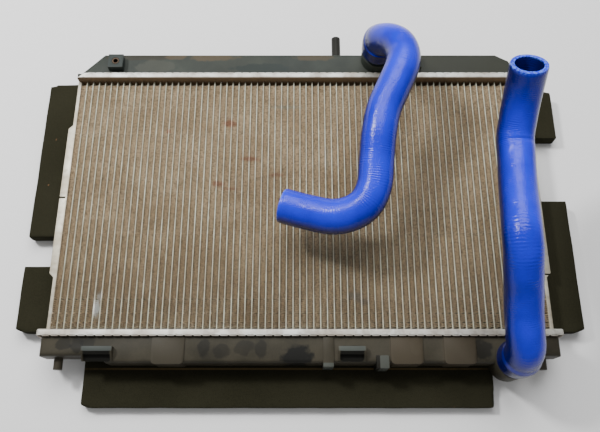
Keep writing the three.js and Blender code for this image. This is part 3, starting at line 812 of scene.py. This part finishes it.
# %% [markdown]
# ## The wall of a hose
# The cuff is wider than the hose because the neck stretches it, and the bore is wider there
# too. The cut rims are a little round, and moulded rubber swells and sinks by a tenth of a
# millimetre. Each radius is a function of the distance along the hose, so both hoses share
# them.

# %% Hose wall
HOSE_RADIUS = 24 * MM
BORE_RADIUS = 18 * MM
CUFF_RADIUS = 25.9 * MM
GRIP_RADIUS = 19.9 * MM
CUFF_LENGTH = 27 * MM
CUFF_FADE = (1.5 * MM, 3.5 * MM)     # the cuff's shoulder, before and after its end
GRIP_LENGTH = 25 * MM
RIM_ROUND = 0.7 * MM
SWELL, SWELL_SCALE = 0.12 * MM, 35


def outer_radius(travelled, whole, at):
    before, after = CUFF_FADE
    cuff = 1 - ease(travelled, CUFF_LENGTH - before, CUFF_LENGTH + after)
    rim = min(travelled, whole - travelled) / RIM_ROUND
    rounding = RIM_ROUND * (1 - math.sqrt(max(0, 1 - (1 - min(rim, 1)) ** 2)))
    swell = SWELL * noise.noise(at * SWELL_SCALE)
    return HOSE_RADIUS + (CUFF_RADIUS - HOSE_RADIUS) * cuff - rounding + swell


def inner_radius(travelled):
    return GRIP_RADIUS + (BORE_RADIUS - GRIP_RADIUS) * ease(travelled, GRIP_LENGTH, GRIP_LENGTH + MM)


for place_along in (0, 2 * GRIP_LENGTH):
    print("bore radius at", place_along / MM, "mm:", round(inner_radius(place_along) / MM, 1), "mm")

# %% [markdown]
# ## Hose mesh
# A bevelled curve would be solid and of one thickness, but a hose is a hollow tube. Rings
# are laid along the centre line, outside first and then back along the bore, and each is
# joined to the next, so the wall is one closed skin. Every point keeps its distance along
# the hose and whether it lies on the cut end, for the material.

# %% Hose mesh
HOSE_SIDES = 48
RING_PACE = 2.5 * MM
CUT_DEPTH = 0.5 * MM


def hose(name, route, creases=()):
    """A hollow hose; a crease (place from 0 to 1, depth, width) dents its upper side."""
    line = smooth_line([row_point(*point) for point in route], RING_PACE)
    whole = length_of(line)
    travelled, rings = 0.0, []
    for i, (centre, sides) in enumerate(zip(line, carried_sides(line))):
        if i:
            travelled += (centre - line[i - 1]).length
        rings.append((centre, sides, travelled))

    mesh = bmesh.new()
    loops, alongs, cuts = [], [], []
    for outside, sequence in ((True, rings), (False, rings[::-1])):
        for centre, (side, other), s in sequence:
            loop = []
            for k in range(HOSE_SIDES):
                angle = 2 * math.pi * k / HOSE_SIDES
                ray = side * math.cos(angle) + other * math.sin(angle)
                radius = outer_radius(s, whole, centre + ray * HOSE_RADIUS) if outside else inner_radius(s)
                if outside:
                    for crease_at, depth, width in creases:
                        upward = max(0.0, ray.z) ** 2
                        radius -= depth * upward * math.exp(-(((s / whole) - crease_at) / width) ** 2)
                loop.append(mesh.verts.new(centre + ray * radius))
                alongs.append(s)
                cuts.append(1.0 if s > whole - CUT_DEPTH else 0.0)
            loops.append(loop)
    loops.append(loops[0])
    for a, b in zip(loops, loops[1:]):
        for k in range(HOSE_SIDES):
            j = (k + 1) % HOSE_SIDES
            mesh.faces.new((a[k], a[j], b[j], b[k]))
    bmesh.ops.recalc_face_normals(mesh, faces=mesh.faces)
    data = bpy.data.meshes.new(name)
    mesh.to_mesh(data)
    mesh.free()
    piece = bpy.data.objects.new(name, data)
    bpy.context.scene.collection.objects.link(piece)
    data.materials.append(hose_blue)
    for label, values in (("along", alongs), ("cut_end", cuts)):
        data.attributes.new(label, "FLOAT", "POINT").data.foreach_set("value", values)
    return piece, line


def finish_smooth(piece, degrees=35):
    bpy.ops.object.select_all(action="DESELECT")
    piece.select_set(True)
    bpy.context.view_layer.objects.active = piece
    bpy.ops.object.shade_smooth_by_angle(angle=math.radians(degrees))


print("hose mesh of", HOSE_SIDES, "sides ready")

# %% [markdown]
# ## The two hoses
# Each hose rides on its own body, so that it can turn on its neck. It is stiff, and its far
# end is bare, because it is moulded and stands free. The lower hose has one crease where it
# starts to turn up.

# %% The two hoses
LOWER_CREASE = (0.755, 1.6 * MM, 0.008)

for node, route, creases in (("upper_hose", UPPER_HOSE, ()), ("lower_hose", LOWER_HOSE, (LOWER_CREASE,))):
    piece, line = hose(node + "_moulding", route, creases)
    finish_smooth(piece)
    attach(piece, node)
    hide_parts(node)
    print(node, "is", round(length_of(line) / MM), "mm long")

# %% [markdown]
# ## Blocks and choices
# Most pieces start as a block between two corners. An operator acts on all that is
# selected, so everything is deselected first, and faces and edges are then chosen by a
# test of their place or direction. That holds when a size changes, as a list of face
# numbers doesn't.

# %% Blocks and choices
def only(piece):
    if bpy.context.mode != "OBJECT":
        bpy.ops.object.mode_set(mode="OBJECT")
    bpy.ops.object.select_all(action="DESELECT")
    piece.select_set(True)
    bpy.context.view_layer.objects.active = piece


def block(name, low, high):
    """A box between two corners, with its place in its mesh."""
    low, high = Vector(low), Vector(high)
    bpy.ops.object.select_all(action="DESELECT")
    bpy.ops.mesh.primitive_cube_add(size=1, location=(low + high) / 2, scale=high - low)
    piece = bpy.context.object
    piece.name = name
    bpy.ops.object.transform_apply(location=True, rotation=True, scale=True)
    return piece


def pick(piece, faces=None, edges=None):
    """Selects the faces or edges that a test accepts, for the next operator."""
    only(piece)
    bpy.ops.object.mode_set(mode="EDIT")
    bpy.ops.mesh.select_mode(type="FACE" if faces else "EDGE")
    bpy.ops.mesh.select_all(action="DESELECT")
    mesh = bmesh.from_edit_mesh(piece.data)
    chosen = [f for f in mesh.faces if faces(f)] if faces else [e for e in mesh.edges if edges(e)]
    for item in chosen:
        item.select_set(True)
    bmesh.update_edit_mesh(piece.data)


def leave():
    bpy.ops.object.mode_set(mode="OBJECT")


print("block helpers ready")

# %% [markdown]
# ## Modifiers, copies and the last step
# A piece can also start as a copy of the frame's own solid. Such a copy is a soup of
# triangles, so its doubles are merged. Its flat faces are rejoined and split again into
# even triangles, because a flat face with a hole in it can't be drawn whole. The last step
# is the same for every piece: its finish, its smooth shading and its place in the frame.

# %% Modifiers, copies and the last step
def apply_modifier(piece, kind, **values):
    only(piece)
    modifier = piece.modifiers.new(kind.lower(), kind)
    for label, value in values.items():
        setattr(modifier, label, value)
    bpy.ops.object.modifier_apply(modifier=modifier.name)


WELD = 0.01 * MM
FLAT_WITHIN = math.radians(1)


def copy_of(node, name):
    """The frame's solid as a new piece, welded and with its flat faces split evenly."""
    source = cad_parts[node]
    piece = bpy.data.objects.new(name, source.data.copy())
    piece.data.materials.clear()
    bpy.context.scene.collection.objects.link(piece)
    only(piece)
    bpy.ops.object.mode_set(mode="EDIT")
    bpy.ops.mesh.select_all(action="SELECT")
    bpy.ops.mesh.remove_doubles(threshold=WELD)
    bpy.ops.mesh.dissolve_limited(angle_limit=FLAT_WITHIN)
    bpy.ops.mesh.select_all(action="SELECT")
    bpy.ops.mesh.quads_convert_to_tris(quad_method="BEAUTY", ngon_method="BEAUTY")
    leave()
    return piece


def finish(piece, body, node, material, smooth=35):
    piece.data.materials.clear()
    piece.data.materials.append(material)
    finish_smooth(piece, smooth)
    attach(piece, body)
    if node:
        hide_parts(node)
    print(piece.name, "has", len(piece.data.polygons), "faces")


print("copy and finish helpers ready")

# %% [markdown]
# ## Copying along a row
# Tubes, fins and teeth repeat dozens of times. An array modifier would keep them live, but
# real copies, each with its own mesh, can be joined and placed at once. What repeats stays
# simple, because every face in it is there dozens of times.

# %% Copying along a row
def spread(piece, shifts):
    """Copies a piece to each shift, each with its own mesh, and joins them all."""
    others = []
    for shift in shifts[1:]:
        twin = piece.copy()
        twin.data = piece.data.copy()
        bpy.context.scene.collection.objects.link(twin)
        twin.location = Vector(shift)
        others.append(twin)
    piece.location = Vector(shifts[0])
    only(piece)
    for twin in others:
        twin.select_set(True)
    bpy.ops.object.join()
    bpy.ops.object.transform_apply(location=True, rotation=True, scale=True)
    return piece


print("rows ready")

# %% [markdown]
# ## Flat tubes
# Flat tubes carry the coolant from tank to tank. Each is a thin block whose four long edges
# are rounded by a bevel, as a drawn tube's are. Only the noses show between the fins, so
# the hollow inside is left out.

# %% Flat tubes
TUBE_COUNT = 71
TUBE_PITCH = 9.5 * MM
TUBE_THICK = 2 * MM
NOSE_ROUND = 0.85 * MM
LONG = 0.1                  # an edge longer than this runs the whole length of a tube

core_low, core_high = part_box("core")


def runs_along(edge):
    return abs((edge.verts[0].co - edge.verts[1].co).y) > LONG


first_x = -(TUBE_COUNT - 1) / 2 * TUBE_PITCH
tubes = block("flat_tubes", (-TUBE_THICK / 2, core_low.y, core_low.z),
              (TUBE_THICK / 2, core_high.y, core_high.z))
pick(tubes, edges=runs_along)
bpy.ops.mesh.bevel(offset=NOSE_ROUND, segments=3, affect="EDGES")
leave()
spread(tubes, [(first_x + i * TUBE_PITCH, 0, 0) for i in range(TUBE_COUNT)])
finish(tubes, "radiator", "core", tube_metal)

# %% [markdown]
# ## Folded fins
# A strip of thin sheet folded into a zigzag is brazed between each two tubes. A folded strip
# could be drawn as a curve, but it is easier to start from one long plane on its edge: it
# is cut across many times, every second cut is pushed left and the others right, and
# Solidify gives the sheet its thickness. The fins stop short of the headers, and the
# farther end shows a row of dark gaps.

# %% Folded fins
FOLD = 1.3 * MM
FIN_SHEET = 0.2 * MM
FIN_BACK = 0.3 * MM            # how far the fins stay below the tubes' noses
FIN_GAP = 0.05 * MM            # between a fold and the tube it is brazed to
BARE_END = 3.6 * MM
BARE_TOP_END = 6 * MM
strip_half = (TUBE_PITCH - TUBE_THICK) / 2 - FIN_GAP
fin_from, fin_to = core_low.y + BARE_END, core_high.y - BARE_TOP_END
folds = round((fin_to - fin_from) / FOLD)

bpy.ops.object.select_all(action="DESELECT")
fin_middle = (0, (fin_from + fin_to) / 2, (core_low.z + core_high.z) / 2)
bpy.ops.mesh.primitive_plane_add(size=1, location=fin_middle)
fins = bpy.context.object
fins.name = "folded_fins"
# The plane is stood on its edge, so that it runs along the tubes and through the core.
only(fins)
fins.rotation_euler = (0, math.pi / 2, 0)
fins.scale = (core_high.z - core_low.z - 2 * FIN_BACK, fin_to - fin_from, 1)
bpy.ops.object.transform_apply(location=True, rotation=True, scale=True)
pick(fins, edges=runs_along)
bpy.ops.mesh.subdivide_edgering(number_cuts=folds - 1)
leave()
for vertex in fins.data.vertices:
    turn = round((vertex.co.y - fin_from) / (fin_to - fin_from) * folds)
    vertex.co.x = strip_half if turn % 2 else -strip_half
apply_modifier(fins, "SOLIDIFY", thickness=FIN_SHEET, offset=0)
print("one strip:", folds, "folds,", len(fins.data.polygons), "faces")
spread(fins, [(first_x + (i - 0.5) * TUBE_PITCH, 0, 0) for i in range(TUBE_COUNT + 1)])
finish(fins, "radiator", None, fin_metal, smooth=10)

# %% [markdown]
# ## Header trays
# Each header is a tray pressed from sheet: its floor takes the tube ends, and its rim
# stands round the tank's foot. It could be a flat sheet with extruded walls, but a block
# has the right outline at once: it is opened towards the tank, rounded on the core's side
# and given a wall. The top tray's ends lean in towards the tank.

# %% Header trays
SHEET = 1.5 * MM
TRAY_ROUND = 2.6 * MM
TOOTH_HIGH = 2.6 * MM
TINY = 0.01 * MM
SQUARE_ON = 0.9             # a normal's part along an axis that the face looks along
UPRIGHT_FROM = 4 * MM


def header_tray(node, side, lean):
    """A tray that opens towards its tank: side is 1 for the top and -1 for the bottom."""
    low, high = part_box(node)
    floor_y, rim = (low.y, high.y - TOOTH_HIGH / 2) if side > 0 else (high.y, low.y + TOOTH_HIGH / 2)
    tray = block(node + "_tray", (low.x, min(rim, floor_y), low.z), (high.x, max(rim, floor_y), high.z))
    pick(tray, faces=lambda f: f.normal.y * side > SQUARE_ON)
    bpy.ops.mesh.delete(type="FACE")
    leave()
    for vertex in tray.data.vertices:
        if abs(vertex.co.y - rim) < TINY:
            vertex.co.x -= math.copysign(lean, vertex.co.x)

    def folded(edge):
        """Round the floor and up the corners, but not along the open rim."""
        on_floor = all(abs(v.co.y - floor_y) < TINY for v in edge.verts)
        upright = abs((edge.verts[0].co - edge.verts[1].co).y) > UPRIGHT_FROM
        return not edge.is_boundary and (on_floor or upright)

    pick(tray, edges=folded)
    bpy.ops.mesh.bevel(offset=TRAY_ROUND, segments=4, affect="EDGES")
    leave()
    apply_modifier(tray, "SOLIDIFY", thickness=SHEET, offset=-1)
    return tray, low, high


print("tray sheet:", SHEET / MM, "mm")

# %% [markdown]
# ## Crimped teeth
# The rim is cut into teeth that are folded over the tank's foot and hold it. One tooth is a
# small block with its bends rounded, and a row is that tooth copied along each side.

# %% Crimped teeth
TOOTH_PITCH = 12 * MM
TOOTH_GAP = 2.3 * MM
TOOTH_DEEP = 3.9 * MM          # how far a folded tooth reaches in over the foot
TOOTH_ROUND = 0.7 * MM
ROW_ENDS = 8 * MM              # left free at a row's two ends together


def tooth_row(low, high, along, count):
    """One folded tooth at the row's start, with its bends rounded, copied along it."""
    tooth = block("teeth", low, high)
    pick(tooth, edges=lambda e: True)
    bpy.ops.mesh.bevel(offset=TOOTH_ROUND, segments=2, affect="EDGES")
    leave()
    return spread(tooth, [Vector(along) * (TOOTH_PITCH * i) for i in range(count)])


def header(node, side, material, lean=0.0):
    tray, low, high = header_tray(node, side, lean)
    y0, y1 = (high.y - TOOTH_HIGH, high.y) if side > 0 else (low.y, low.y + TOOTH_HIGH)
    tooth_wide = TOOTH_PITCH - TOOTH_GAP
    count = int((high.x - low.x - ROW_ENDS - 2 * lean) // TOOTH_PITCH)
    start_x = -(count * TOOTH_PITCH - TOOTH_GAP) / 2
    rows = []
    for z0, z1 in ((high.z - TOOTH_DEEP, high.z), (low.z, low.z + TOOTH_DEEP)):
        rows.append(tooth_row((start_x, y0, z0), (start_x + tooth_wide, y1, z1), (1, 0, 0), count))
    short = int((high.z - low.z - ROW_ENDS) // TOOTH_PITCH)
    start_z = (low.z + high.z) / 2 - (short * TOOTH_PITCH - TOOTH_GAP) / 2
    inner, outer = high.x - lean - TOOTH_DEEP, high.x - lean
    for x0, x1 in ((inner, outer), (-outer, -inner)):
        rows.append(tooth_row((x0, y0, start_z), (x1, y1, start_z + tooth_wide), (0, 0, 1), short))
    only(tray)
    for row in rows:
        row.select_set(True)
    bpy.ops.object.join()
    print(node, "has", count, "teeth on each long side and", short, "on each end")
    finish(tray, "radiator", node, material)


header("top_header", 1, top_header_metal, lean=9 * MM)
header("bottom_header", -1, bottom_header_metal)

# %% [markdown]
# ## Softening a solid
# The frame's solids already have the right bosses, necks, hoods and pins, but their edges
# are razor sharp. Moulded nylon and folded sheet have small radii that catch the light, so
# each solid is copied, welded and bevelled wherever two faces meet at an angle.

# %% Soften a solid
SHARP_FROM = math.radians(28)


def softened(node, name, radius, material, body="radiator"):
    """The frame's solid, with each sharp edge rounded to a radius in millimetres."""
    piece = copy_of(node, name)
    apply_modifier(piece, "BEVEL", width=radius * MM, segments=2, limit_method="ANGLE",
                   angle_limit=SHARP_FROM, use_clamp_overlap=True)
    finish(piece, body, node, material)


print("edges sharper than", round(math.degrees(SHARP_FROM)), "degrees are rounded")

# %% [markdown]
# ## Tanks and side plates
# The tanks carry the lugs, the peg, the pins, the clip hoods and the hose necks, all in one
# moulding each. The side plates are folded channels that hold the headers apart. Moulded
# edges are rounder than folded ones.

# %% Tanks and side plates
softened("top_tank", "top_tank_moulding", 0.9, top_plastic)
softened("bottom_tank", "bottom_tank_moulding", 0.9, bottom_plastic)
for side in ("left", "right"):
    softened(f"{side}_side_plate", f"{side}_plate_channel", 0.5, plate_metal)

# %% [markdown]
# ## Inserts, gaskets and the drain
# A brass insert in each lug takes a bolt, and a rubber ring seals each tank in its header.
# The drain plug and its ring sit on the underside. They have bodies of their own, because
# the plug screws out.

# %% Inserts, gaskets and the drain
for side in ("left", "right"):
    softened(f"{side}_lug_insert", f"{side}_threaded_insert", 0.4, insert_brass)
for end in ("top", "bottom"):
    softened(f"{end}_gasket", f"{end}_gasket_ring", 0.8, gasket_black)
softened("drain_plug", "drain_plug_moulding", 0.6, plug_black, body="drain_plug")
softened("drain_ring", "drain_seal_ring", 0.6, gasket_black, body="drain_ring")

# %% [markdown]
# ## Foam air seals
# Blocks cut from a foam slab close the gaps round the radiator. Foam has no sharp edge and
# no true flat, so each block is rebuilt as an even net of small faces, relaxed, and pushed
# in and out a little by noise.

# %% Foam blocks
FOAM_NET = 3.5 * MM
FOAM_WAVE = 0.5 * MM
FOAM_WAVE_SCALE = 28


def foam_block(node):
    piece = copy_of(node, node + "_foam")
    low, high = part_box(node)
    apply_modifier(piece, "REMESH", mode="VOXEL", voxel_size=FOAM_NET)
    apply_modifier(piece, "SMOOTH", factor=0.5, iterations=2)
    for vertex in piece.data.vertices:
        push = noise.noise(vertex.co * FOAM_WAVE_SCALE) * FOAM_WAVE - FOAM_WAVE / 2
        vertex.co += vertex.normal * push
        vertex.co.z = min(max(vertex.co.z, low.z), high.z)
    finish(piece, "radiator", node, foam_dark, smooth=60)


for name in ("left_upper", "left_lower", "right_upper", "right_lower", "bottom"):
    foam_block(name + "_seal")
